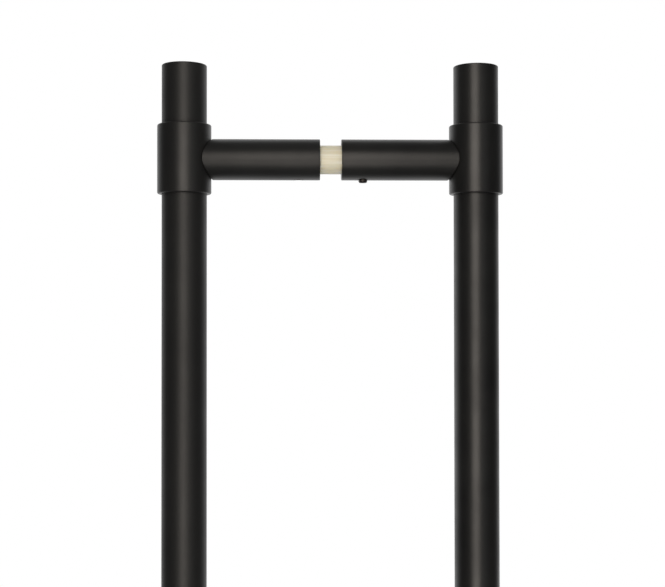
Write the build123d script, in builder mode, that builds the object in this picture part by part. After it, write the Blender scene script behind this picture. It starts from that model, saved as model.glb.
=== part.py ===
"""Back-to-back pair of T-bar pull handles for a door, millimetres.

Two long tubes stand one on each side of the door. Each tube runs through two
collars, and a round post with a coped end joins every collar to the door. A
hidden bolt pulls post, collar and tube together, and a stud inside a nylon
sleeve ties the facing posts to each other through the door.

X runs along the posts, Y along the door's face and Z up along the tubes. The
origin is in the middle of the door, halfway between the two fixings.
"""
import os

from build123d import *

# Grip tubes
TUBE_DIAMETER = 25.0
TUBE_WALL = 1.5
BAR_LENGTH = 600.0
END_OVERHANG = 52.5
TUBE_RIM_RADIUS = 0.5

# Plugs that close the tube ends, flush with the rim
END_PLUG_LENGTH = 8.0
END_PLUG_EDGE = 0.3
END_PLUG_LEAD_IN = 1.0
GLUE_GROOVE_WIDTH = 2.0
GLUE_GROOVE_DEPTH = 0.4

# Collars round the tubes
COLLAR_WALL = 2.4
COLLAR_HEIGHT = 38.5
COLLAR_CLEARANCE = 0.1
COLLAR_EDGE_RADIUS = 0.8
COLLAR_BORE_CHAMFER = 0.3

# Posts between the door and the collars
POST_DIAMETER = 22.8
POST_PROJECTION = 75.5
POST_SOLID_END = 22.0
POST_EDGE = 0.3
COPE_EDGE_RADIUS = 0.6

# Door, and the nylon sleeve that lines its hole
DOOR_THICKNESS = 12.0
SLEEVE_DIAMETER = 16.0
SLEEVE_SEAT_DEPTH = 1.0
SLEEVE_SEAT_CLEARANCE = 0.2

# Brass bosses inside the posts, and the stud that joins a facing pair
BOSS_DIAMETER = 12.0
BOSS_LENGTH = 18.0
BOSS_SLOT_WIDTH = 1.6
BOSS_SLOT_DEPTH = 2.0
BOSS_GROOVE_DEPTH = 1.9
STUD_DIAMETER = 6.0
STUD_CHAMFER = 0.6

# Cone-point grub screws under the posts
GRUB_DIAMETER = 5.0
GRUB_FROM_DOOR = 12.0
GRUB_DRAW = 0.5
GRUB_SETBACK = 0.35
GRUB_STAND_OUT = 1.35
GRUB_TIP_DIAMETER = 0.8
GRUB_SOCKET = 2.5
GRUB_SOCKET_DEPTH = 2.4
GRUB_COUNTERSINK = 0.6
GRUB_COUNTERSINK_ANGLE = 90.0

# Clamp bolts and the anchor slugs that they pull on inside the tubes
BOLT_DIAMETER = 6.0
BOLT_HEAD_DIAMETER = 10.0
BOLT_HEAD_HEIGHT = 6.0
BOLT_HEAD_EDGE = 0.5
BOLT_SOCKET = 5.0
BOLT_SOCKET_DEPTH = 3.0
BOLT_ENGAGEMENT = 8.9
BOLT_TIP_CHAMFER = 0.6
ANCHOR_LENGTH = 24.0
ANCHOR_EDGE = 0.5
ANCHOR_THREAD_RUNOUT = 3.5

# Gaps between pieces that fit each other, measured on the radius
FIT_GAP = 0.05
BOLT_HOLE_GAP = 0.2

# Radii worked out from the sizes above
tube_radius = TUBE_DIAMETER / 2
tube_bore_radius = tube_radius - TUBE_WALL
plug_radius = tube_bore_radius - FIT_GAP
collar_bore_radius = tube_radius + COLLAR_CLEARANCE
collar_radius = collar_bore_radius + COLLAR_WALL
cope_radius = collar_radius + FIT_GAP
post_radius = POST_DIAMETER / 2
sleeve_radius = SLEEVE_DIAMETER / 2
seat_radius = sleeve_radius + SLEEVE_SEAT_CLEARANCE
boss_radius = BOSS_DIAMETER / 2
post_bore_radius = boss_radius + FIT_GAP
stud_radius = STUD_DIAMETER / 2
sleeve_bore_radius = stud_radius + BOLT_HOLE_GAP
bolt_radius = BOLT_DIAMETER / 2
bolt_hole_radius = bolt_radius + BOLT_HOLE_GAP
bolt_head_radius = BOLT_HEAD_DIAMETER / 2
grub_radius = GRUB_DIAMETER / 2
grub_tip_radius = GRUB_TIP_DIAMETER / 2
groove_floor_radius = boss_radius - BOSS_GROOVE_DEPTH

# Places along a post, measured from the middle of the door
door_face = DOOR_THICKNESS / 2
seat_floor = door_face + SLEEVE_SEAT_DEPTH
bar_axis = door_face + POST_PROJECTION
post_bore_floor = bar_axis - cope_radius - POST_SOLID_END
boss_end = seat_floor + BOSS_LENGTH
stud_end = boss_end - BOSS_SLOT_DEPTH
grub_axis = door_face + GRUB_FROM_DOOR
groove_axis = grub_axis - GRUB_DRAW
bolt_tip = bar_axis - plug_radius + BOLT_ENGAGEMENT

# Radial places of a grub screw that is screwed home against its groove
grub_home_tip = groove_floor_radius + GRUB_DRAW + grub_tip_radius + FIT_GAP
grub_home_end = post_radius - GRUB_SETBACK

# Left and right of the door, and the upper and lower fixing on each side
SIDES = {"left": -1, "right": 1}
fixing_height = BAR_LENGTH / 2 - END_OVERHANG
LEVELS = {"upper": fixing_height, "lower": -fixing_height}
BAR_ENDS = {"top": 1, "bottom": -1}
FIXINGS = [(side, level) for side in SIDES for level in LEVELS]

# The grub screw that is backed out of its post
LOOSE_GRUB = ("right", "upper")


def turning_plane(side, height):
    """Plane of a profile turned about a post's axis: x outwards from the door, y up."""
    return Plane(origin=(0, 0, height), x_dir=(side, 0, 0), z_dir=(0, -side, 0))


def post_axis(height):
    """Axis of the posts at one fixing."""
    return Axis((0, 0, height), (1, 0, 0))


def bar_to_door_plane(side, height):
    """Plane across a post at the bar's axis, facing the door."""
    return Plane(origin=(side * bar_axis, 0, height), x_dir=(0, 1, 0), z_dir=(-side, 0, 0))


def make_grip_tube(name, side):
    """Long tube with rounded rims and a bolt hole towards the door at each fixing."""
    with BuildPart() as grip_tube:
        with BuildSketch(Plane.XY.offset(-BAR_LENGTH / 2)):
            with Locations((side * bar_axis, 0)):
                Circle(tube_radius)
                Circle(tube_bore_radius, mode=Mode.SUBTRACT)
        extrude(amount=BAR_LENGTH)
        rims = grip_tube.edges().filter_by(GeomType.CIRCLE).group_by(SortBy.RADIUS)[-1]
        fillet(rims, TUBE_RIM_RADIUS)
        for height in LEVELS.values():
            with BuildSketch(bar_to_door_plane(side, height)):
                Circle(bolt_hole_radius)
            extrude(amount=TUBE_DIAMETER, mode=Mode.SUBTRACT)
    grip_tube.part.label = name
    export_step(grip_tube.part, f"parts/{name}.step")


def make_end_plug(name, side, end):
    """Turned plug glued into a tube's end, with a groove for the glue and a lead-in."""
    outer_face = Plane(origin=(side * bar_axis, 0, end * BAR_LENGTH / 2), z_dir=(0, 0, -end))
    groove_top = (END_PLUG_LENGTH - GLUE_GROOVE_WIDTH) / 2
    with BuildPart() as end_plug:
        with BuildSketch(outer_face):
            Circle(plug_radius)
        extrude(amount=END_PLUG_LENGTH)
        along_bar = end_plug.edges().filter_by(GeomType.CIRCLE).sort_by(Axis.Z, reverse=end > 0)
        chamfer(along_bar[0], END_PLUG_EDGE)
        inner_rim = end_plug.edges().filter_by(GeomType.CIRCLE).sort_by(Axis.Z, reverse=end > 0)[-1]
        chamfer(inner_rim, END_PLUG_LEAD_IN)
        with BuildSketch(outer_face.offset(groove_top)):
            Circle(plug_radius)
            Circle(plug_radius - GLUE_GROOVE_DEPTH, mode=Mode.SUBTRACT)
        extrude(amount=GLUE_GROOVE_WIDTH, mode=Mode.SUBTRACT)
    end_plug.part.label = name
    export_step(end_plug.part, f"parts/{name}.step")


def make_collar(name, side, height):
    """Ring round the tube with rounded outer edges and a bolt hole towards the door."""
    with BuildPart() as collar:
        with BuildSketch(Plane.XY.offset(height - COLLAR_HEIGHT / 2)):
            with Locations((side * bar_axis, 0)):
                Circle(collar_radius)
                Circle(collar_bore_radius, mode=Mode.SUBTRACT)
        extrude(amount=COLLAR_HEIGHT)
        rings = collar.edges().filter_by(GeomType.CIRCLE).group_by(SortBy.RADIUS)
        chamfer(rings[0], COLLAR_BORE_CHAMFER)
        outer_rings = collar.edges().filter_by(GeomType.CIRCLE).group_by(SortBy.RADIUS)[-1]
        fillet(outer_rings, COLLAR_EDGE_RADIUS)
        with BuildSketch(bar_to_door_plane(side, height)):
            Circle(bolt_hole_radius)
        extrude(amount=2 * collar_radius, mode=Mode.SUBTRACT)
    collar.part.label = name
    export_step(collar.part, f"parts/{name}.step")


def make_post(name, side, height):
    """Turned post, bored from the door end, coped to the collar with a round rim, drilled for its grub."""
    under_post = Plane(origin=(side * grub_axis, 0, height - post_radius), z_dir=(0, 0, -1))
    grub_hole_radius = grub_radius + FIT_GAP
    with BuildPart() as post:
        with BuildSketch(turning_plane(side, height)):
            with BuildLine():
                Polyline(
                    (door_face, seat_radius),
                    (door_face, post_radius - POST_EDGE),
                    (door_face + POST_EDGE, post_radius),
                    (bar_axis, post_radius),
                    (bar_axis, bolt_hole_radius),
                    (post_bore_floor, bolt_hole_radius),
                    (post_bore_floor, post_bore_radius),
                    (seat_floor, post_bore_radius),
                    (seat_floor, seat_radius),
                    close=True,
                )
            make_face()
        revolve(axis=post_axis(height))
        with BuildSketch(Plane.XY.offset(height - post_radius)):
            with Locations((side * bar_axis, 0)):
                Circle(cope_radius)
        extrude(amount=POST_DIAMETER, mode=Mode.SUBTRACT)
        cope_rim = post.edges().filter_by(GeomType.BSPLINE).sort_by(SortBy.LENGTH)[-1]
        fillet(cope_rim, COPE_EDGE_RADIUS)
        with Locations(under_post):
            CounterSinkHole(
                radius=grub_hole_radius,
                counter_sink_radius=grub_hole_radius + GRUB_COUNTERSINK,
                depth=post_radius,
                counter_sink_angle=GRUB_COUNTERSINK_ANGLE,
            )
    post.part.label = name
    export_step(post.part, f"parts/{name}.step")


def make_anchor_slug(name, side, height):
    """Slug inside the tube, tapped from the door side for the clamp bolt."""
    thread_depth = BOLT_ENGAGEMENT + ANCHOR_THREAD_RUNOUT
    with BuildPart() as anchor_slug:
        with BuildSketch(Plane.XY.offset(height - ANCHOR_LENGTH / 2)):
            with Locations((side * bar_axis, 0)):
                Circle(plug_radius)
        extrude(amount=ANCHOR_LENGTH)
        chamfer(anchor_slug.edges().filter_by(GeomType.CIRCLE), ANCHOR_EDGE)
        with BuildSketch(bar_to_door_plane(side, height).offset(plug_radius - thread_depth)):
            Circle(bolt_radius + FIT_GAP)
        extrude(amount=thread_depth, mode=Mode.SUBTRACT)
    anchor_slug.part.label = name
    export_step(anchor_slug.part, f"parts/{name}.step")


def make_boss(name, side, height):
    """Brass boss on the stud, with a V groove for the grub screw and a driver slot."""
    slot_plane = Plane(origin=(side * stud_end, 0, height), x_dir=(0, 1, 0), z_dir=(side, 0, 0))
    with BuildPart() as boss:
        with BuildSketch(turning_plane(side, height)):
            with BuildLine():
                Polyline(
                    (seat_floor, stud_radius + FIT_GAP),
                    (seat_floor, boss_radius),
                    (groove_axis - BOSS_GROOVE_DEPTH, boss_radius),
                    (groove_axis, groove_floor_radius),
                    (groove_axis + BOSS_GROOVE_DEPTH, boss_radius),
                    (boss_end, boss_radius),
                    (boss_end, stud_radius + FIT_GAP),
                    close=True,
                )
            make_face()
        revolve(axis=post_axis(height))
        with BuildSketch(slot_plane):
            Rectangle(BOSS_DIAMETER, BOSS_SLOT_WIDTH)
        extrude(amount=BOSS_SLOT_DEPTH, mode=Mode.SUBTRACT)
    boss.part.label = name
    export_step(boss.part, f"parts/{name}.step")


def make_door_sleeve(name, height):
    """Nylon sleeve through the door, its chamfered ends sunk into both posts."""
    with BuildPart() as door_sleeve:
        with BuildSketch(turning_plane(1, height)):
            with BuildLine():
                Polyline(
                    (-seat_floor, sleeve_bore_radius),
                    (-seat_floor, sleeve_radius - SLEEVE_SEAT_DEPTH),
                    (-door_face, sleeve_radius),
                    (door_face, sleeve_radius),
                    (seat_floor, sleeve_radius - SLEEVE_SEAT_DEPTH),
                    (seat_floor, sleeve_bore_radius),
                    close=True,
                )
            make_face()
        revolve(axis=post_axis(height))
    door_sleeve.part.label = name
    export_step(door_sleeve.part, f"parts/{name}.step")


def make_door_studs(name):
    """The studs that join the bosses through the door, one at each fixing."""
    with BuildPart() as door_studs:
        for height in LEVELS.values():
            with BuildSketch(turning_plane(1, height)):
                with BuildLine():
                    Polyline(
                        (-stud_end, 0),
                        (-stud_end, stud_radius - STUD_CHAMFER),
                        (-stud_end + STUD_CHAMFER, stud_radius),
                        (stud_end - STUD_CHAMFER, stud_radius),
                        (stud_end, stud_radius - STUD_CHAMFER),
                        (stud_end, 0),
                        close=True,
                    )
                make_face()
            revolve(axis=post_axis(height))
    door_studs.part.label = name
    export_step(door_studs.part, f"parts/{name}.step")


def make_clamp_bolts(name):
    """Socket-head bolts from the floor of each post's bore into the anchor slugs."""
    head_top = post_bore_floor - BOLT_HEAD_HEIGHT
    with BuildPart() as clamp_bolts:
        for side_name, level_name in FIXINGS:
            side = SIDES[side_name]
            height = LEVELS[level_name]
            with BuildSketch(turning_plane(side, height)):
                with BuildLine():
                    Polyline(
                        (head_top, 0),
                        (head_top, bolt_head_radius - BOLT_HEAD_EDGE),
                        (head_top + BOLT_HEAD_EDGE, bolt_head_radius),
                        (post_bore_floor, bolt_head_radius),
                        (post_bore_floor, bolt_radius),
                        (bolt_tip - BOLT_TIP_CHAMFER, bolt_radius),
                        (bolt_tip, bolt_radius - BOLT_TIP_CHAMFER),
                        (bolt_tip, 0),
                        close=True,
                    )
                make_face()
            revolve(axis=post_axis(height))
            with BuildSketch(Plane(origin=(side * head_top, 0, height), z_dir=(side, 0, 0))):
                RegularPolygon(BOLT_SOCKET / 2, side_count=6, major_radius=False)
            extrude(amount=BOLT_SOCKET_DEPTH, mode=Mode.SUBTRACT)
    clamp_bolts.part.label = name
    export_step(clamp_bolts.part, f"parts/{name}.step")


def make_grub_screws(name):
    """Cone-point grub screws under the posts, three of them home and one backed out."""
    cone_height = grub_radius - grub_tip_radius
    with BuildPart() as grub_screws:
        for fixing in FIXINGS:
            side = SIDES[fixing[0]]
            height = LEVELS[fixing[1]]
            backed_out = GRUB_STAND_OUT + GRUB_SETBACK if fixing == LOOSE_GRUB else 0
            tip = grub_home_tip + backed_out
            end = grub_home_end + backed_out
            screw_plane = Plane(origin=(side * grub_axis, 0, height), x_dir=(1, 0, 0), z_dir=(0, 1, 0))
            with BuildSketch(screw_plane):
                with BuildLine():
                    Polyline(
                        (0, tip),
                        (grub_tip_radius, tip),
                        (grub_radius, tip + cone_height),
                        (grub_radius, end),
                        (0, end),
                        close=True,
                    )
                make_face()
            revolve(axis=Axis((side * grub_axis, 0, height), (0, 0, 1)))
            with BuildSketch(Plane(origin=(side * grub_axis, 0, height - end), z_dir=(0, 0, 1))):
                RegularPolygon(GRUB_SOCKET / 2, side_count=6, major_radius=False)
            extrude(amount=GRUB_SOCKET_DEPTH, mode=Mode.SUBTRACT)
    grub_screws.part.label = name
    export_step(grub_screws.part, f"parts/{name}.step")


os.makedirs("parts", exist_ok=True)

for side_name, side in SIDES.items():
    make_grip_tube(f"{side_name}_grip_tube", side)
    for end_name, end in BAR_ENDS.items():
        make_end_plug(f"{side_name}_{end_name}_end_plug", side, end)

for side_name, level_name in FIXINGS:
    side = SIDES[side_name]
    height = LEVELS[level_name]
    make_collar(f"{side_name}_{level_name}_collar", side, height)
    make_post(f"{side_name}_{level_name}_post", side, height)
    make_anchor_slug(f"{side_name}_{level_name}_anchor_slug", side, height)
    make_boss(f"{side_name}_{level_name}_boss", side, height)

for level_name, height in LEVELS.items():
    make_door_sleeve(f"{level_name}_door_sleeve", height)

make_door_studs("door_studs")
make_clamp_bolts("clamp_bolts")
make_grub_screws("grub_screws")
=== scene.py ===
"""Looks of a back-to-back T-bar pull handle: black tubes, collars and posts round nylon door sleeves.

Everything is in metres in the handle's own frame: X along the posts, Y along the door, Z up the tubes.
"""
import math

import bmesh
import bpy
from bpy.props import FloatProperty, FloatVectorProperty, PointerProperty
from mathutils import Matrix, Vector


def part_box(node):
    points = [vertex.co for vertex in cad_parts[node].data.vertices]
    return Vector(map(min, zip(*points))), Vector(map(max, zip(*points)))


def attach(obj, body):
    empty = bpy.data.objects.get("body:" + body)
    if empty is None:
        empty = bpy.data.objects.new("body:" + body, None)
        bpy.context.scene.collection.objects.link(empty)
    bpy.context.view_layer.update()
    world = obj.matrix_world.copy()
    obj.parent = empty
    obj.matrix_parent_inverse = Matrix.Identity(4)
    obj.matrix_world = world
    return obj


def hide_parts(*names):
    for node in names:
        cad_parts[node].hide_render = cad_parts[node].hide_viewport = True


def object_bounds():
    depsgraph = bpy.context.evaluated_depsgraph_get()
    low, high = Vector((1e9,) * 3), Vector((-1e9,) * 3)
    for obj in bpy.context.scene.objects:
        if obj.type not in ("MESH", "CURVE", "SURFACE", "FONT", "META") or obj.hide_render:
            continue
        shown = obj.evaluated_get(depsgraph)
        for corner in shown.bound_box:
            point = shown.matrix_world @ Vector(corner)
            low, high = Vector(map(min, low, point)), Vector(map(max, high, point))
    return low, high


bl_info = {
    "name": "T-bar pull handle",
    "version": (1, 0, 0),
    "blender": (4, 5, 0),
    "location": "View3D > Sidebar > Pull handle",
    "description": "Builds the finish of a back-to-back T-bar pull handle and its studio",
    "category": "Object",
}

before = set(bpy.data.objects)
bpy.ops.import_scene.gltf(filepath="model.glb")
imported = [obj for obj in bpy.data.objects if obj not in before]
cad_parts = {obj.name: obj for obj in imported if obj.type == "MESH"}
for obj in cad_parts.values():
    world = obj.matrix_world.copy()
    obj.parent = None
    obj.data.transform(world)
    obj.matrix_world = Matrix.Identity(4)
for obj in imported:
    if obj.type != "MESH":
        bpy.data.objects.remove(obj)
cad_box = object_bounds()

MM = 0.001
SIDES = {"left": -1, "right": 1}
LEVELS = ("upper", "lower")
ENDS = {"top": 1, "bottom": -1}
FIXINGS = [(side, level) for side in SIDES for level in LEVELS]
UPSIDE_DOWN = Matrix.Rotation(math.pi, 4, "X")
# The grub screw that is backed out of its hole
LOOSE_GRUB = ("right", "upper")

# The right handle's coat is glossier than the left one's, and its colour is the left coat's painted a little
# deeper: that deeper black is painted shade on the right handle
GLOSS = {"left": "matt", "right": "satin"}
# Each coat's roughness, how far its patches swing it, and the axis its metal was turned or ground about
COATS = {
    "matt_black_coat_on_ground_tube": (0.57, 0.03, "Z"),
    "matt_black_coat_on_turned_collar": (0.475, 0.03, "Z"),
    "matt_black_coat_on_turned_post": (0.49, 0.03, "X"),
    "matt_black_coat_on_turned_plug": (0.50, 0.03, "Z"),
    "satin_black_coat_on_ground_tube": (0.475, 0.06, "Z"),
    "satin_black_coat_on_turned_collar": (0.41, 0.03, "Z"),
    "satin_black_coat_on_turned_post": (0.455, 0.02, "X"),
    "satin_black_coat_on_turned_plug": (0.48, 0.03, "Z"),
}
# Each bare or plated metal's roughness, and the size of the specks that break up its highlight
METALS = {
    "oiled_black_oxide_on_steel": (0.46, 0.5 * MM),
    "bare_turned_brass": (0.30, 0.8 * MM),
    "bare_turned_steel": (0.36, 0.6 * MM),
    "bright_zinc_plate_on_steel": (0.28, 0.4 * MM),
}

# A noise pattern stays mostly between these two values
NOISE_LOW = 0.3
NOISE_HIGH = 0.7
# Layers of ever finer noise: one for a soft swell, more for a broken grain
SWELL = 1.0
GRAIN = 2.0
BROKEN_GRAIN = 3.0
# Width of one band of a wave pattern at a scale of 1
WAVE_BAND = 2 * math.pi / 20

# Width of the photograph and the camera's focal length in its pixels, and the width of the camera's sensor
IMAGE_WIDTH = 665
FOCAL_PIXELS = 1220
SENSOR_WIDTH_MM = 36.0

# Facets round a turned piece, round a small one and round a hex socket
TURN_STEPS = 144
FINE_STEPS = 48
HEX_SIDES = 6
# Segments in a rounded corner, and rings across a post's coped end, which let it bend
CORNER_SEGMENTS = 5
COPE_RINGS = 4
# Edges that turn by more than this are shaded sharp
SHARP_ANGLE = math.radians(32)
# Points closer than this are one point, and a cut's slivers that thin are dissolved
MERGE_DISTANCE = 1e-6

# Depth of the grub screws' thread as a share of its pitch, and the places in a pitch where its tooth bends
THREAD_DEPTH = 0.35
TOOTH = (("root", 0.0), ("root", 0.15), ("crest", 0.4), ("crest", 0.75), ("root", 1.0))
# Turns of thread past the ends of a grub screw, which are cut off
SPARE_TURNS = 2
# Slope of the lead-in round a hex socket
LEAD_IN_SLOPE = math.tan(math.radians(30))


def span(node, axis):
    """Lowest and highest place of a node along one axis."""
    low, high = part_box(node)
    return low[axis], high[axis]


def middle(node, axis):
    """Middle of a node along one axis."""
    low, high = span(node, axis)
    return (low + high) / 2


def extent(node, axis):
    """Size of a node along one axis."""
    low, high = span(node, axis)
    return high - low


def linear(code):
    """Linear colour with alpha of an sRGB hex code."""
    channels = [int(code[i:i + 2], 16) / 255 for i in (1, 3, 5)]
    return [c / 12.92 if c <= 0.04045 else ((c + 0.055) / 1.055) ** 2.4 for c in channels] + [1.0]


def length(name, description, default):
    """Length that a user can change."""
    return FloatProperty(
        name=name, description=description, default=default, min=0.0, unit="LENGTH", precision=5
    )


def angle(name, description, default):
    """Angle that a user can change."""
    return FloatProperty(name=name, description=description, default=default, unit="ROTATION")


def spot(name, description, default):
    """Place that a user can change."""
    return FloatVectorProperty(name=name, description=description, default=default, subtype="TRANSLATION")


def strength(name, description, default):
    """Brightness that a user can change, where 1 is white."""
    return FloatProperty(name=name, description=description, default=default, min=0.0)


def colour(name, description, code):
    """Colour that a user can change, from an sRGB hex code."""
    return FloatVectorProperty(
        name=name, description=description, default=linear(code), size=4, min=0.0, max=1.0, subtype="COLOR"
    )


class HandleSizes(bpy.types.PropertyGroup):
    """Sizes of the handle's pieces."""

    bar_axis: length(
        "Bar axis", "From the middle of the door to a tube's axis", middle("right_grip_tube", 0)
    )
    tube_radius: length("Tube radius", "Outside radius of the grip tubes", extent("right_grip_tube", 0) / 2)
    tube_wall: length("Tube wall", "Wall thickness of the grip tubes", 1.5 * MM)
    bar_length: length("Bar length", "Length of a grip tube", extent("right_grip_tube", 2))
    rim_round: length("Rim round-over", "Rounding of a tube's outer rim", 0.5 * MM)
    rim_break: length("Rim break", "Rounding of a tube's inner rim", 0.15 * MM)
    fixing_height: length("Fixing height", "From the middle to each fixing", middle("right_upper_post", 2))

    plug_depth: length("Plug depth", "Length of an end plug", extent("right_top_end_plug", 2))
    plug_edge: length("Plug edge", "Rounding of an end plug's face", 0.3 * MM)
    plug_lead_in: length("Plug lead-in", "Chamfer at a plug's inner end", 1.0 * MM)
    glue_groove_width: length("Glue groove width", "Width of the groove round a plug", 2.0 * MM)
    glue_groove_depth: length("Glue groove depth", "Depth of the groove round a plug", 0.4 * MM)

    collar_radius: length("Collar radius", "Outside radius of a collar", extent("right_upper_collar", 1) / 2)
    collar_height: length("Collar height", "Height of a collar", extent("right_upper_collar", 2))
    collar_clearance: length("Collar clearance", "Gap between collar and tube", 0.1 * MM)
    collar_round: length("Collar round-over", "Rounding of a collar's outer edges", 0.8 * MM)
    collar_break: length("Collar break", "Rounding of a collar's inner edges", 0.3 * MM)

    post_radius: length("Post radius", "Outside radius of a post", extent("right_upper_post", 2) / 2)
    door_face: length(
        "Door face", "From the middle of the door to a post's end", span("right_upper_post", 0)[0]
    )
    post_edge: length("Post edge", "Rounding of a post's door end", 0.3 * MM)
    cope_edge: length("Cope edge", "Rounding of a post's coped rim", 1.2 * MM)
    post_solid_end: length("Solid end", "Length of a post's unbored end", 22.0 * MM)
    post_bore: length("Post bore", "Radius of the bore for the boss", 6.05 * MM)
    bolt_hole: length("Bolt hole", "Radius of the clamp bolt's hole", 3.2 * MM)

    sleeve_radius: length(
        "Sleeve radius", "Outside radius of a door sleeve", extent("upper_door_sleeve", 2) / 2
    )
    sleeve_length: length("Sleeve length", "Length of a door sleeve", extent("upper_door_sleeve", 0))
    sleeve_bore: length("Sleeve bore", "Radius of the stud's hole in a sleeve", 3.2 * MM)
    seat_clearance: length("Seat clearance", "Gap round a sleeve's end in a post", 0.2 * MM)
    fit_gap: length("Fit gap", "Gap between pieces that fit each other", 0.05 * MM)

    grub_radius: length("Grub radius", "Outside radius of a grub screw", extent("grub_screws", 1) / 2)
    grub_length: length("Grub length", "Length of a grub screw", 6.0 * MM)
    grub_pitch: length("Grub pitch", "Thread pitch of a grub screw", 0.8 * MM)
    grub_tip: length("Grub tip", "Radius of a grub screw's cut-off point", 0.4 * MM)
    grub_end: length("Grub end", "Radius of a grub screw's socket end, inside its chamfer", 2.0 * MM)
    grub_socket: length("Grub socket", "Width across flats of the hex socket", 2.5 * MM)
    grub_socket_depth: length("Grub socket depth", "Depth of the hex socket", 2.4 * MM)
    grub_mouth: length("Grub mouth", "Radius of the lead-in round the hex socket", 1.8 * MM)
    grub_setback: length("Grub setback", "How far a tight grub screw sits below the post", 0.35 * MM)
    grub_stand_out: length("Grub stand-out", "How far the loose grub screw stands out", 1.35 * MM)
    grub_countersink: length("Grub countersink", "Chamfer round a grub screw's hole", 0.6 * MM)


class HandleColours(bpy.types.PropertyGroup):
    """Colours of the handle's finishes."""

    matt_coat: colour("Matt coat", "Powder coat of the left handle", "#111111")
    matt_patch: colour("Matt patch", "Paler patches of the matt coat", "#171716")
    # The satin colours are the matt ones painted deeper: painted shade on the right handle
    satin_coat: colour("Satin coat", "Powder coat of the right handle", "#090909")
    satin_patch: colour("Satin patch", "Paler patches of the satin coat", "#161615")
    nylon: colour("Nylon", "Natural nylon of the door sleeves", "#DAD7C8")
    nylon_core: colour("Nylon core", "Yellower streaks of the nylon", "#CAC2A6")
    black_oxide: colour("Black oxide", "Oiled black oxide on the grub screws", "#565250")
    brass: colour("Brass", "Turned brass of the bosses", "#CDA75B")
    zinc: colour("Zinc", "Zinc plate of the bolts and studs", "#BFC3C8")
    steel: colour("Steel", "Bare turned steel of the anchor slugs", "#A5A6A8")


class StudioSettings(bpy.types.PropertyGroup):
    """Camera, light and floor."""

    eye: spot("Eye", "Place of the camera", (-0.0200, -0.6803, 0.1621))
    yaw: angle("Yaw", "Turn of the camera to the right", 0.0308)
    pitch: angle("Pitch", "Tilt of the camera upwards", 0.0158)
    roll: angle("Roll", "Roll of the camera", -0.0012)
    softbox_place: spot("Softbox", "Centre of the softbox", (-0.045, -0.570, 0.140))
    softbox_width: length("Softbox width", "Width of the softbox", 0.36)
    softbox_height: length("Softbox height", "Height of the softbox", 1.10)
    softbox_gap: length("Softbox gap", "Dark stretch where the camera stands before it", 0.06)
    softbox_radiance: strength("Softbox radiance", "Brightness of its face", 4.1)
    softbox_spread: angle("Softbox spread", "Angle that its grid lets out", math.radians(110))
    softbox_tint: colour("Softbox tint", "Colour of the softbox's light", "#FFF6EC")
    card_place: spot("Card", "Centre of the card at the right", (0.33, -0.50, 0.14))
    card_width: length("Card width", "Width of the card", 0.30)
    card_height: length("Card height", "Height of the card", 1.10)
    card_radiance: strength("Card radiance", "Brightness of the card", 0.2)
    card_tint: colour("Card tint", "Colour of the card's light", "#FFFFFF")
    room_fill: strength("Room fill", "Light that the room gives from all round", 0.6)
    room_front: strength("Room in front", "What gloss mirrors of the dark room", 0.06)
    room_ends: strength("Room ends", "What gloss mirrors above and below", 0.15)
    floor_near: length("Floor near", "Where the floor begins to fade into white", 0.42)
    floor_radius: length("Floor radius", "Where the floor has faded into white", 1.2)


def add_node(tree, kind, inputs=None, **settings):
    """Add a node, set its properties, and fill its inputs with values or with other nodes' outputs."""
    node = tree.nodes.new(kind)
    for name, value in settings.items():
        setattr(node, name, value)
    for name, value in (inputs or {}).items():
        if isinstance(value, bpy.types.NodeSocket):
            tree.links.new(value, node.inputs[name])
        else:
            node.inputs[name].default_value = value
    return node


def new_material(name):
    """Material with an empty node tree, and the object's own coordinates in it."""
    material = bpy.data.materials.new(name)
    material.use_nodes = True
    tree = material.node_tree
    tree.nodes.clear()
    coords = add_node(tree, "ShaderNodeTexCoord").outputs["Object"]
    return material, tree, coords


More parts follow.
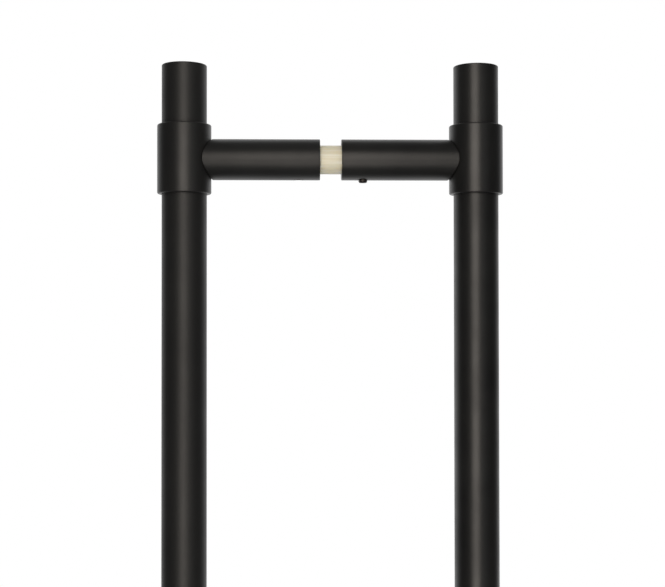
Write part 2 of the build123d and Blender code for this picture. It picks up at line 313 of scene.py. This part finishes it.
def powder_coat(name, gloss, colours):
    """Thin powder coat, matt or satin, baked on steel that was ground or turned round its axis.

    It is a deep neutral black. The coat follows the rings of the grinding, so its soft highlight spreads
    along the piece and stays narrow across it, and slow patches are a little paler and glossier than the
    rest. Close to, the baked powder has a fine orange peel.
    """
    roughness, patch_swing, axis = COATS[name]
    coat_ior = 1.6
    patch_size = 28 * MM
    patch_falloff = 0.55
    # Grinding leaves finer rings than this, which would not show
    ring_pitch = 0.45 * MM
    ring_reach = 30 * MM
    ring_height = 0.0015 * MM
    ring_stretch = 0.6
    quarter_turn = 0.25
    peel_size = 0.9 * MM
    peel_height = 0.014 * MM
    ring_scale = [1 / ring_pitch if letter == axis else 1 / ring_reach for letter in "XYZ"]
    material, tree, coords = new_material(name)
    patches = add_node(
        tree,
        "ShaderNodeTexNoise",
        {"Vector": coords, "Scale": 1 / patch_size, "Detail": BROKEN_GRAIN, "Roughness": patch_falloff},
    )
    patch_share = add_node(
        tree,
        "ShaderNodeMapRange",
        {"Value": patches.outputs["Fac"], "From Min": NOISE_LOW, "From Max": NOISE_HIGH},
    )
    # On the right handle this tone is painted a little deeper, as painted shade
    tone = add_node(
        tree,
        "ShaderNodeMix",
        {
            "Factor": patch_share.outputs["Result"],
            "A": getattr(colours, f"{gloss}_coat"),
            "B": getattr(colours, f"{gloss}_patch"),
        },
        data_type="RGBA",
    )
    polish = add_node(
        tree,
        "ShaderNodeMapRange",
        {
            "Value": patch_share.outputs["Result"],
            "To Min": roughness + patch_swing,
            "To Max": roughness - patch_swing,
        },
    )
    wound = add_node(tree, "ShaderNodeVectorMath", {0: coords, 1: ring_scale}, operation="MULTIPLY")
    rings = add_node(
        tree, "ShaderNodeTexNoise", {"Vector": wound.outputs["Vector"], "Scale": 1.0, "Detail": GRAIN}
    )
    ground = add_node(tree, "ShaderNodeBump", {"Height": rings.outputs["Fac"], "Distance": ring_height})
    peel = add_node(tree, "ShaderNodeTexNoise", {"Vector": coords, "Scale": 1 / peel_size, "Detail": SWELL})
    relief = add_node(
        tree,
        "ShaderNodeBump",
        {"Height": peel.outputs["Fac"], "Distance": peel_height, "Normal": ground.outputs["Normal"]},
    )
    round_axis = add_node(tree, "ShaderNodeTangent", direction_type="RADIAL", axis=axis)
    shader = add_node(
        tree,
        "ShaderNodeBsdfPrincipled",
        {
            "Base Color": tone.outputs["Result"],
            "Roughness": polish.outputs["Result"],
            "IOR": coat_ior,
            "Anisotropic": ring_stretch,
            "Anisotropic Rotation": quarter_turn,
            "Tangent": round_axis.outputs["Tangent"],
            "Normal": relief.outputs["Normal"],
        },
    )
    add_node(tree, "ShaderNodeOutputMaterial", {"Surface": shader.outputs["BSDF"]})
    return material


def coat(side_name, metal, colours):
    """The coat on one handle's pieces of that metal, made the first time it is asked for."""
    gloss = GLOSS[side_name]
    name = f"{gloss}_black_coat_on_{metal}"
    return bpy.data.materials.get(name) or powder_coat(name, gloss, colours)


def natural_nylon(colours):
    """Natural nylon turned from drawn rod.

    It is cream and faintly translucent, with yellower streaks along the rod and fine rings from the lathe.
    """
    nylon_ior = 1.53
    roughness = 0.42
    ring_pitch = 0.3 * MM
    ring_height = 0.004 * MM
    ring_wobble = 0.6
    streak_width = 1.1 * MM
    streak_length = 30 * MM
    scatter_share = 0.6
    scatter_depth = 2.0 * MM
    scatter_reach = (1.0, 0.85, 0.55)
    material, tree, coords = new_material("turned_natural_nylon")
    drawn = add_node(
        tree,
        "ShaderNodeVectorMath",
        {0: coords, 1: (1 / streak_length, 1 / streak_width, 1 / streak_width)},
        operation="MULTIPLY",
    )
    streaks = add_node(
        tree, "ShaderNodeTexNoise", {"Vector": drawn.outputs["Vector"], "Scale": 1.0, "Detail": GRAIN}
    )
    streak_share = add_node(
        tree,
        "ShaderNodeMapRange",
        {"Value": streaks.outputs["Fac"], "From Min": NOISE_LOW, "From Max": NOISE_HIGH},
    )
    tone = add_node(
        tree,
        "ShaderNodeMix",
        {"Factor": streak_share.outputs["Result"], "A": colours.nylon, "B": colours.nylon_core},
        data_type="RGBA",
    )
    rings = add_node(
        tree,
        "ShaderNodeTexWave",
        {"Vector": coords, "Scale": WAVE_BAND / ring_pitch, "Distortion": ring_wobble, "Detail": SWELL},
        bands_direction="X",
    )
    ripple = add_node(tree, "ShaderNodeBump", {"Height": rings.outputs["Fac"], "Distance": ring_height})
    shader = add_node(
        tree,
        "ShaderNodeBsdfPrincipled",
        {
            "Base Color": tone.outputs["Result"],
            "Roughness": roughness,
            "IOR": nylon_ior,
            "Subsurface Weight": scatter_share,
            "Subsurface Radius": scatter_reach,
            "Subsurface Scale": scatter_depth,
            "Normal": ripple.outputs["Normal"],
        },
    )
    add_node(tree, "ShaderNodeOutputMaterial", {"Surface": shader.outputs["BSDF"]})
    return material


def turned_metal(name, tint):
    """Bare or plated metal from the lathe: its colour, broken up by specks that spread the highlight."""
    roughness, speck_size = METALS[name]
    speck_swing = 0.12
    material, tree, coords = new_material(name)
    specks = add_node(
        tree, "ShaderNodeTexNoise", {"Vector": coords, "Scale": 1 / speck_size, "Detail": BROKEN_GRAIN}
    )
    polish = add_node(
        tree,
        "ShaderNodeMapRange",
        {
            "Value": specks.outputs["Fac"],
            "To Min": roughness - speck_swing,
            "To Max": roughness + speck_swing,
        },
    )
    shader = add_node(
        tree,
        "ShaderNodeBsdfPrincipled",
        {"Base Color": tint, "Metallic": 1.0, "Roughness": polish.outputs["Result"]},
    )
    add_node(tree, "ShaderNodeOutputMaterial", {"Surface": shader.outputs["BSDF"]})
    return material


def turn(profile, closed, steps=TURN_STEPS):
    """Closed mesh turned about Z from corners of (radius, height, rounding).

    A profile that isn't closed starts and ends on the axis.
    """
    bm = bmesh.new()
    corners = [bm.verts.new((radius, 0, height)) for radius, height, rounding in profile]
    for start, stop in zip(corners, corners[1:]):
        bm.edges.new((start, stop))
    if closed:
        bm.edges.new((corners[-1], corners[0]))
    for corner, (radius, height, rounding) in zip(corners, profile):
        if rounding:
            bmesh.ops.bevel(
                bm, geom=[corner], offset=rounding, offset_type="OFFSET", affect="VERTICES",
                segments=CORNER_SEGMENTS, profile=0.5, material=-1,
            )
    bmesh.ops.spin(
        bm, geom=bm.verts[:] + bm.edges[:], cent=(0, 0, 0), axis=(0, 0, 1), angle=2 * math.pi,
        steps=steps, use_merge=True,
    )
    bmesh.ops.remove_doubles(bm, verts=bm.verts[:], dist=MERGE_DISTANCE)
    bmesh.ops.recalc_face_normals(bm, faces=bm.faces[:])
    return bm


def rod(radius, depth, steps=FINE_STEPS):
    """Plain cutter along Z, starting at the origin."""
    bm = bmesh.new()
    bmesh.ops.create_cone(bm, cap_ends=True, segments=steps, radius1=radius, radius2=radius, depth=depth)
    return place(bm, Matrix.Translation((0, 0, depth / 2)))


def place(bm, matrix):
    """Move a mesh to its place, and hand it back."""
    bmesh.ops.transform(bm, matrix=matrix, verts=bm.verts[:])
    return bm


def along_bar(side, sizes, height=0.0):
    """From a piece turned about Z to its place on one of the tubes."""
    return Matrix.Translation((side * sizes.bar_axis, 0, height))


def along_post(side, distance, height):
    """From a piece turned about Z to its place on a post, Z pointing away from the door."""
    axes = Matrix(((0, 0, side), (side, 0, 0), (0, 1, 0))).to_4x4()
    return Matrix.Translation((side * distance, 0, height)) @ axes


def bare_object(bm, name):
    """Object with a mesh and no material."""
    mesh = bpy.data.meshes.new(name)
    bm.to_mesh(mesh)
    bm.free()
    item = bpy.data.objects.new(name, mesh)
    bpy.context.scene.collection.objects.link(item)
    return item


def tidy(bm):
    """Merge the points that lie together, and dissolve slivers."""
    bmesh.ops.remove_doubles(bm, verts=bm.verts[:], dist=MERGE_DISTANCE)
    bmesh.ops.dissolve_degenerate(bm, edges=bm.edges[:], dist=MERGE_DISTANCE)


def cut(bm, cutter):
    """What is left of a closed mesh when another closed mesh is taken out of it."""
    body, tool = bare_object(bm, "body"), bare_object(cutter, "tool")
    boolean = body.modifiers.new("cut", "BOOLEAN")
    boolean.object = tool
    boolean.operation = "DIFFERENCE"
    boolean.solver = "EXACT"
    result = bmesh.new()
    result.from_object(body, bpy.context.evaluated_depsgraph_get())
    tidy(result)
    for item in (body, tool):
        mesh = item.data
        bpy.data.objects.remove(item)
        bpy.data.meshes.remove(mesh)
    return result


def add_piece(bm, name, material, node):
    """Finished piece that stands for a CAD node and rides with it."""
    piece = bare_object(bm, name)
    piece.data.shade_smooth()
    piece.data.set_sharp_from_angle(angle=SHARP_ANGLE)
    piece.data.materials.append(material)
    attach(piece, "root")
    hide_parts(node)


def fixing_heights(sizes):
    """Height of the posts' axis at each fixing."""
    return {"upper": sizes.fixing_height, "lower": -sizes.fixing_height}


def grub_line(sizes):
    """How far the grub screws' axes are from the middle of the door."""
    return span("grub_screws", 0)[1] - sizes.grub_radius


def bolt_drill(side, height, sizes):
    """Cutter for a clamp bolt's hole through a tube and its collar."""
    return place(rod(sizes.bolt_hole, sizes.bar_axis), along_post(side, 0, height))


class PULLHANDLE_OT_grip_tubes(bpy.types.Operator):
    """Turn the two grip tubes and drill their bolt holes"""

    bl_idname = "pull_handle.grip_tubes"
    bl_label = "Grip tubes"

    def execute(self, context):
        sizes, colours = context.scene.pull_handle_sizes, context.scene.pull_handle_colours
        half = sizes.bar_length / 2
        bore = sizes.tube_radius - sizes.tube_wall
        near_hole = 2 * sizes.bolt_hole
        rings = [
            fixing + way * near_hole
            for fixing in (-sizes.fixing_height, sizes.fixing_height)
            for way in (-1, 1)
        ]
        profile = [(sizes.tube_radius, -half, sizes.rim_round)]
        profile += [(sizes.tube_radius, height, 0) for height in rings]
        profile += [(sizes.tube_radius, half, sizes.rim_round), (bore, half, sizes.rim_break)]
        profile += [(bore, height, 0) for height in reversed(rings)]
        profile += [(bore, -half, sizes.rim_break)]
        for side_name, side in SIDES.items():
            tube = place(turn(profile, closed=True), along_bar(side, sizes))
            for height in fixing_heights(sizes).values():
                tube = cut(tube, bolt_drill(side, height, sizes))
            add_piece(
                tube,
                f"{side_name}_tube_coated",
                coat(side_name, "ground_tube", colours),
                f"{side_name}_grip_tube",
            )
        return {"FINISHED"}


class PULLHANDLE_OT_end_plugs(bpy.types.Operator):
    """Turn the plugs that close the tubes' ends"""

    bl_idname = "pull_handle.end_plugs"
    bl_label = "End plugs"

    def execute(self, context):
        sizes, colours = context.scene.pull_handle_sizes, context.scene.pull_handle_colours
        radius = sizes.tube_radius - sizes.tube_wall - sizes.fit_gap
        groove_top = (sizes.plug_depth - sizes.glue_groove_width) / 2
        groove_foot = groove_top + sizes.glue_groove_width
        groove_radius = radius - sizes.glue_groove_depth
        profile = [
            (0, 0, 0),
            (radius, 0, sizes.plug_edge),
            (radius, -groove_top, 0),
            (groove_radius, -groove_top, 0),
            (groove_radius, -groove_foot, 0),
            (radius, -groove_foot, 0),
            (radius, sizes.plug_lead_in - sizes.plug_depth, 0),
            (radius - sizes.plug_lead_in, -sizes.plug_depth, 0),
            (0, -sizes.plug_depth, 0),
        ]
        for side_name, side in SIDES.items():
            for end_name, end in ENDS.items():
                seat = along_bar(side, sizes, end * sizes.bar_length / 2)
                if end < 0:
                    seat = seat @ UPSIDE_DOWN
                add_piece(
                    place(turn(profile, closed=False), seat),
                    f"{side_name}_{end_name}_plug_coated",
                    coat(side_name, "turned_plug", colours),
                    f"{side_name}_{end_name}_end_plug",
                )
        return {"FINISHED"}


class PULLHANDLE_OT_collars(bpy.types.Operator):
    """Turn the collars round the tubes and drill their bolt holes"""

    bl_idname = "pull_handle.collars"
    bl_label = "Collars"

    def execute(self, context):
        sizes, colours = context.scene.pull_handle_sizes, context.scene.pull_handle_colours
        half = sizes.collar_height / 2
        bore = sizes.tube_radius + sizes.collar_clearance
        near_hole = 2 * sizes.bolt_hole
        profile = [
            (sizes.collar_radius, -half, sizes.collar_round),
            (sizes.collar_radius, -near_hole, 0),
            (sizes.collar_radius, near_hole, 0),
            (sizes.collar_radius, half, sizes.collar_round),
            (bore, half, sizes.collar_break),
            (bore, near_hole, 0),
            (bore, -near_hole, 0),
            (bore, -half, sizes.collar_break),
        ]
        heights = fixing_heights(sizes)
        for side_name, level in FIXINGS:
            side, height = SIDES[side_name], heights[level]
            collar = place(turn(profile, closed=True), along_bar(side, sizes, height))
            add_piece(
                cut(collar, bolt_drill(side, height, sizes)),
                f"{side_name}_{level}_collar_coated",
                coat(side_name, "turned_collar", colours),
                f"{side_name}_{level}_collar",
            )
        return {"FINISHED"}


class PULLHANDLE_OT_posts(bpy.types.Operator):
    """Turn the posts, cope them to the collars and drill them for the grub screws"""

    bl_idname = "pull_handle.posts"
    bl_label = "Posts"

    def execute(self, context):
        sizes, colours = context.scene.pull_handle_sizes, context.scene.pull_handle_colours
        cope = sizes.collar_radius + sizes.fit_gap
        end = sizes.bar_axis - cope - sizes.door_face
        coped_from = end - 2 * sizes.cope_edge
        bore_floor = end - sizes.post_solid_end
        seat_depth = sizes.sleeve_length / 2 - sizes.door_face
        seat_radius = sizes.sleeve_radius + sizes.seat_clearance
        grub_place = grub_line(sizes) - sizes.door_face
        near_hole = 2 * sizes.grub_radius
        ring_step = (sizes.post_radius - sizes.bolt_hole) / (COPE_RINGS + 1)
        profile = [
            (seat_radius, 0, 0),
            (sizes.post_radius, 0, sizes.post_edge),
            (sizes.post_radius, grub_place - near_hole, 0),
            (sizes.post_radius, grub_place + near_hole, 0),
            (sizes.post_radius, end, sizes.cope_edge),
        ]
        profile += [(sizes.post_radius - ring * ring_step, end, 0) for ring in range(1, COPE_RINGS + 1)]
        profile += [
            (sizes.bolt_hole, end, 0),
            (sizes.bolt_hole, bore_floor, 0),
            (sizes.post_bore, bore_floor, 0),
            (sizes.post_bore, seat_depth, 0),
            (seat_radius, seat_depth, 0),
        ]
        hole = sizes.grub_radius + sizes.fit_gap
        past_rim = sizes.post_radius + sizes.grub_countersink
        drill_profile = [
            (0, 0, 0),
            (hole, 0, 0),
            (hole, sizes.post_radius - sizes.grub_countersink, 0),
            (hole + 2 * sizes.grub_countersink, past_rim, 0),
            (0, past_rim, 0),
        ]
        heights = fixing_heights(sizes)
        for side_name, level in FIXINGS:
            side, height = SIDES[side_name], heights[level]
            post = turn(profile, closed=True)
            for vert in post.verts:
                if vert.co.z > coped_from:
                    vert.co.z += cope - math.sqrt(cope ** 2 - vert.co.x ** 2)
            place(post, along_post(side, sizes.door_face, height))
            under = Matrix.Translation((side * grub_line(sizes), 0, height)) @ UPSIDE_DOWN
            drill = place(turn(drill_profile, closed=False, steps=FINE_STEPS), under)
            add_piece(
                cut(post, drill),
                f"{side_name}_{level}_post_coated",
                coat(side_name, "turned_post", colours),
                f"{side_name}_{level}_post",
            )
        return {"FINISHED"}


class PULLHANDLE_OT_door_sleeves(bpy.types.Operator):
    """Turn the nylon sleeves that line the door's holes"""

    bl_idname = "pull_handle.door_sleeves"
    bl_label = "Door sleeves"

    def execute(self, context):
        sizes, colours = context.scene.pull_handle_sizes, context.scene.pull_handle_colours
        half = sizes.sleeve_length / 2
        lead_in = half - sizes.door_face
        profile = [
            (sizes.sleeve_bore, -half, 0),
            (sizes.sleeve_radius - lead_in, -half, 0),
            (sizes.sleeve_radius, lead_in - half, 0),
            (sizes.sleeve_radius, half - lead_in, 0),
            (sizes.sleeve_radius - lead_in, half, 0),
            (sizes.sleeve_bore, half, 0),
        ]
        nylon = natural_nylon(colours)
        for level, height in fixing_heights(sizes).items():
            add_piece(
                place(turn(profile, closed=True), along_post(1, 0, height)),
                f"{level}_sleeve_turned",
                nylon,
                f"{level}_door_sleeve",
            )
        return {"FINISHED"}


def threaded_grub(sizes):
    """Grub screw along Z, its hex socket at the origin and its cone point above: a helix cut to length."""
    radii = {"crest": sizes.grub_radius, "root": sizes.grub_radius - THREAD_DEPTH * sizes.grub_pitch}
    turns = math.ceil(sizes.grub_length / sizes.grub_pitch) + SPARE_TURNS
    bm = bmesh.new()
    corners = [bm.verts.new((radii[end], 0, (share - 1) * sizes.grub_pitch)) for end, share in TOOTH]
    for start, stop in zip(corners, corners[1:]):
        bm.edges.new((start, stop))
    bmesh.ops.spin(
        bm, geom=bm.verts[:] + bm.edges[:], cent=(0, 0, 0), axis=(0, 0, 1), angle=2 * math.pi * turns,
        steps=FINE_STEPS * turns, dvec=(0, 0, sizes.grub_pitch / FINE_STEPS),
    )
    bmesh.ops.remove_doubles(bm, verts=bm.verts[:], dist=MERGE_DISTANCE)
    for height, way in ((0.0, -1), (sizes.grub_length, 1)):
        bmesh.ops.bisect_plane(
            bm, geom=bm.verts[:] + bm.edges[:] + bm.faces[:], plane_co=(0, 0, height), plane_no=(0, 0, way),
            clear_outer=True,
        )
    rims = [edge for edge in bm.edges if edge.is_boundary]
    bmesh.ops.holes_fill(bm, edges=rims, sides=0)
    for vert in bm.verts:
        radius = math.hypot(vert.co.x, vert.co.y)
        limit = min(sizes.grub_end + vert.co.z, sizes.grub_tip + sizes.grub_length - vert.co.z)
        if radius > limit:
            vert.co.xy *= limit / radius
    tidy(bm)
    bmesh.ops.recalc_face_normals(bm, faces=bm.faces[:])

    hex_corner = sizes.grub_socket / math.sqrt(3)
    socket = place(
        rod(hex_corner, 2 * sizes.grub_socket_depth, steps=HEX_SIDES),
        Matrix.Translation((0, 0, -sizes.grub_socket_depth)),
    )
    past_mouth = 2 * sizes.grub_mouth
    foot = (sizes.grub_mouth - past_mouth) * LEAD_IN_SLOPE
    lead_in_profile = [(0, sizes.grub_mouth * LEAD_IN_SLOPE, 0), (past_mouth, foot, 0), (0, foot, 0)]
    return cut(cut(bm, socket), turn(lead_in_profile, closed=False, steps=FINE_STEPS))


class PULLHANDLE_OT_grub_screws(bpy.types.Operator):
    """Thread the grub screws and set three of them home and one backed out"""

    bl_idname = "pull_handle.grub_screws"
    bl_label = "Grub screws"

    def execute(self, context):
        sizes, colours = context.scene.pull_handle_sizes, context.scene.pull_handle_colours
        heights = fixing_heights(sizes)
        screws = bmesh.new()
        for side_name, level in FIXINGS:
            loose = (side_name, level) == LOOSE_GRUB
            sunk = -sizes.grub_stand_out if loose else sizes.grub_setback
            socket_end = heights[level] - sizes.post_radius + sunk
            seat = Matrix.Translation((SIDES[side_name] * grub_line(sizes), 0, socket_end))
            screw = place(threaded_grub(sizes), seat)
            part = bpy.data.meshes.new("screw")
            screw.to_mesh(part)
            screw.free()
            screws.from_mesh(part)
            bpy.data.meshes.remove(part)
        oxide = turned_metal("oiled_black_oxide_on_steel", colours.black_oxide)
        add_piece(screws, "grub_screws_threaded", oxide, "grub_screws")
        return {"FINISHED"}


class PULLHANDLE_OT_inner_fittings(bpy.types.Operator):
    """Give the bosses, slugs, studs and bolts inside the handle their metals"""

    bl_idname = "pull_handle.inner_fittings"
    bl_label = "Inner fittings"

    def execute(self, context):
        colours = context.scene.pull_handle_colours
        brass = turned_metal("bare_turned_brass", colours.brass)
        steel = turned_metal("bare_turned_steel", colours.steel)
        zinc = turned_metal("bright_zinc_plate_on_steel", colours.zinc)
        metals = {"door_studs": zinc, "clamp_bolts": zinc}
        for side_name, level in FIXINGS:
            metals[f"{side_name}_{level}_boss"] = brass
            metals[f"{side_name}_{level}_anchor_slug"] = steel
        for node, metal in metals.items():
            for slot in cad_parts[node].material_slots:
                slot.material = metal
        return {"FINISHED"}


def studio_world(studio):
    """White backdrop, which gloss mirrors where it stands behind the handle; the room in front is dim."""
    white = 1.0
    # Along Y, where the backdrop begins and where it is full; along Z, where ceiling and floor begin
    backdrop_side = 0.2
    backdrop_full = 0.85
    ceiling_side = 0.4
    world = bpy.data.worlds.new("white_studio")
    world.use_nodes = True
    tree = world.node_tree
    tree.nodes.clear()
    compass = add_node(tree, "ShaderNodeTexCoord")
    toward = add_node(tree, "ShaderNodeSeparateXYZ", {"Vector": compass.outputs["Generated"]})
    behind = add_node(
        tree,
        "ShaderNodeMapRange",
        {"Value": toward.outputs["Y"], "From Min": backdrop_side, "From Max": backdrop_full},
        interpolation_type="SMOOTHSTEP",
    )
    rays = add_node(tree, "ShaderNodeLightPath")
    mirror = add_node(
        tree,
        "ShaderNodeMath",
        {0: rays.outputs["Is Glossy Ray"], 1: rays.outputs["Is Transmission Ray"]},
        operation="MAXIMUM",
    )
    mirrored = add_node(
        tree,
        "ShaderNodeMath",
        {0: mirror.outputs["Value"], 1: behind.outputs["Result"]},
        operation="MULTIPLY",
    )
    seen = add_node(
        tree,
        "ShaderNodeMath",
        {0: rays.outputs["Is Camera Ray"], 1: mirrored.outputs["Value"]},
        operation="MAXIMUM",
    )
    steep = add_node(tree, "ShaderNodeMath", {0: toward.outputs["Z"]}, operation="ABSOLUTE")
    gloom = add_node(
        tree,
        "ShaderNodeMapRange",
        {
            "Value": steep.outputs["Value"],
            "From Min": ceiling_side,
            "To Min": studio.room_front,
            "To Max": studio.room_ends,
        },
        interpolation_type="SMOOTHSTEP",
    )
    room = add_node(
        tree,
        "ShaderNodeMix",
        {"Factor": mirror.outputs["Value"], "A": studio.room_fill, "B": gloom.outputs["Result"]},
        data_type="FLOAT",
    )
    light = add_node(
        tree,
        "ShaderNodeMix",
        {"Factor": seen.outputs["Value"], "A": room.outputs["Result"], "B": white},
        data_type="FLOAT",
    )
    backdrop = add_node(
        tree, "ShaderNodeBackground", {"Color": linear("#FFFFFF"), "Strength": light.outputs["Result"]}
    )
    add_node(tree, "ShaderNodeOutputWorld", {"Surface": backdrop.outputs["Background"]})
    return world


def floor_material(studio):
    """White sweep: paper that is just white in the room's light, so that it keeps the handle's shadow.

    Further out it is plain white.
    """
    white = 1.0
    paper_white = linear("#F2F2F2")
    lift = white - paper_white[0] * studio.room_fill
    material, tree, coords = new_material("white_sweep")
    paper = add_node(tree, "ShaderNodeBsdfDiffuse", {"Color": paper_white})
    glow = add_node(tree, "ShaderNodeEmission", {"Strength": lift})
    lit = add_node(tree, "ShaderNodeAddShader", {0: paper.outputs["BSDF"], 1: glow.outputs["Emission"]})
    plain = add_node(tree, "ShaderNodeEmission", {"Strength": white})
    distance = add_node(tree, "ShaderNodeVectorMath", {0: coords}, operation="LENGTH")
    fade = add_node(
        tree,
        "ShaderNodeMapRange",
        {
            "Value": distance.outputs["Value"],
            "From Min": studio.floor_near,
            "From Max": studio.floor_radius,
        },
        interpolation_type="SMOOTHSTEP",
    )
    rays = add_node(tree, "ShaderNodeLightPath")
    sight = add_node(
        tree,
        "ShaderNodeMath",
        {0: rays.outputs["Is Camera Ray"], 1: fade.outputs["Result"]},
        operation="MULTIPLY",
    )
    sweep = add_node(
        tree,
        "ShaderNodeMixShader",
        {0: sight.outputs["Value"], 1: lit.outputs["Shader"], 2: plain.outputs["Emission"]},
    )
    add_node(tree, "ShaderNodeOutputMaterial", {"Surface": sweep.outputs["Shader"]})
    return material


def add_lamp(scene, name, foot, head, aim_x, spread):
    """Upright lamp with the studio's settings of that name, between two heights.

    It is aimed level at a place across the handle, through a grid that narrows its spread.
    """
    studio = scene.pull_handle_studio
    width, height = getattr(studio, f"{name}_width"), head - foot
    centre = Vector(getattr(studio, f"{name}_place"))
    centre.z = (foot + head) / 2
    half_spread = spread / 2
    past_grid = 1 - half_spread / math.tan(half_spread)
    lamp = bpy.data.lights.new(name, "AREA")
    lamp.shape = "RECTANGLE"
    lamp.size = width
    lamp.size_y = height
    lamp.spread = spread
    lamp.color = getattr(studio, f"{name}_tint")[:3]
    lamp.energy = getattr(studio, f"{name}_radiance") * math.pi * width * height * past_grid
    panel = bpy.data.objects.new(name, lamp)
    scene.collection.objects.link(panel)
    target = Vector((aim_x, 0, centre.z))
    aim = (target - centre).to_track_quat("-Z", "Y").to_matrix().to_4x4()
    panel.matrix_world = Matrix.Translation(centre) @ aim
    panel.visible_camera = False


def camera_turn(studio):
    """Rotation of a camera that looks along +Y, then is turned right, tilted up and rolled."""
    ahead = Vector((
        math.sin(studio.yaw) * math.cos(studio.pitch),
        math.cos(studio.yaw) * math.cos(studio.pitch),
        math.sin(studio.pitch),
    ))
    right = Vector((math.cos(studio.yaw), -math.sin(studio.yaw), 0))
    up = right.cross(ahead)
    level = Matrix((right, up, -ahead)).transposed()
    return level @ Matrix.Rotation(studio.roll, 3, "Z")


class PULLHANDLE_OT_stage(bpy.types.Operator):
    """Set the floor, the light and the camera"""

    bl_idname = "pull_handle.stage"
    bl_label = "Stage"

    def execute(self, context):
        scene = context.scene
        studio = scene.pull_handle_studio
        sheet = bmesh.new()
        bmesh.ops.create_circle(sheet, cap_ends=True, segments=TURN_STEPS, radius=2 * studio.floor_radius)
        floor = bare_object(place(sheet, Matrix.Translation((0, 0, cad_box[0].z))), "floor")
        floor.data.materials.append(floor_material(studio))
        # The handle neither mirrors the floor nor is lit by it: the world stands in for it
        floor.visible_glossy = False
        floor.visible_diffuse = False

        scene.world = studio_world(studio)
        scene.view_settings.view_transform = "Standard"

        # The softbox is a lamp below and a lamp above the camera's height
        eye_height = studio.eye[2]
        foot = studio.softbox_place[2] - studio.softbox_height / 2
        right_tube = scene.pull_handle_sizes.bar_axis
        for low, high in (
            (foot, eye_height - studio.softbox_gap / 2),
            (eye_height + studio.softbox_gap / 2, foot + studio.softbox_height),
        ):
            add_lamp(scene, "softbox", low, high, right_tube, studio.softbox_spread)
        card_foot = studio.card_place[2] - studio.card_height / 2
        add_lamp(scene, "card", card_foot, card_foot + studio.card_height, 0, math.pi)

        lens = bpy.data.cameras.new("camera")
        lens.sensor_fit = "HORIZONTAL"
        lens.sensor_width = SENSOR_WIDTH_MM
        lens.lens = SENSOR_WIDTH_MM * FOCAL_PIXELS / IMAGE_WIDTH
        camera = bpy.data.objects.new("camera", lens)
        scene.collection.objects.link(camera)
        camera.matrix_world = Matrix.Translation(studio.eye) @ camera_turn(studio).to_4x4()
        scene.camera = camera
        return {"FINISHED"}


OPERATORS = (
    PULLHANDLE_OT_grip_tubes,
    PULLHANDLE_OT_end_plugs,
    PULLHANDLE_OT_collars,
    PULLHANDLE_OT_posts,
    PULLHANDLE_OT_door_sleeves,
    PULLHANDLE_OT_grub_screws,
    PULLHANDLE_OT_inner_fittings,
    PULLHANDLE_OT_stage,
)


class PULLHANDLE_PT_panel(bpy.types.Panel):
    """Operators of the pull handle, in the order in which they run"""

    bl_idname = "PULLHANDLE_PT_panel"
    bl_label = "Pull handle"
    bl_space_type = "VIEW_3D"
    bl_region_type = "UI"
    bl_category = "Pull handle"

    def draw(self, context):
        for operator in OPERATORS:
            self.layout.operator(operator.bl_idname)


GROUPS = {
    "pull_handle_sizes": HandleSizes,
    "pull_handle_colours": HandleColours,
    "pull_handle_studio": StudioSettings,
}
CLASSES = (*GROUPS.values(), *OPERATORS, PULLHANDLE_PT_panel)


def register():
    for item in CLASSES:
        bpy.utils.register_class(item)
    for name, group in GROUPS.items():
        setattr(bpy.types.Scene, name, PointerProperty(type=group))


def unregister():
    for name in GROUPS:
        delattr(bpy.types.Scene, name)
    for item in reversed(CLASSES):
        bpy.utils.unregister_class(item)


def main():
    """Build the handle and its stage."""
    register()
    bpy.ops.pull_handle.grip_tubes()
    bpy.ops.pull_handle.end_plugs()
    bpy.ops.pull_handle.collars()
    bpy.ops.pull_handle.posts()
    bpy.ops.pull_handle.door_sleeves()
    bpy.ops.pull_handle.grub_screws()
    bpy.ops.pull_handle.inner_fittings()
    bpy.ops.pull_handle.stage()


if __name__ == "__main__":
    main()
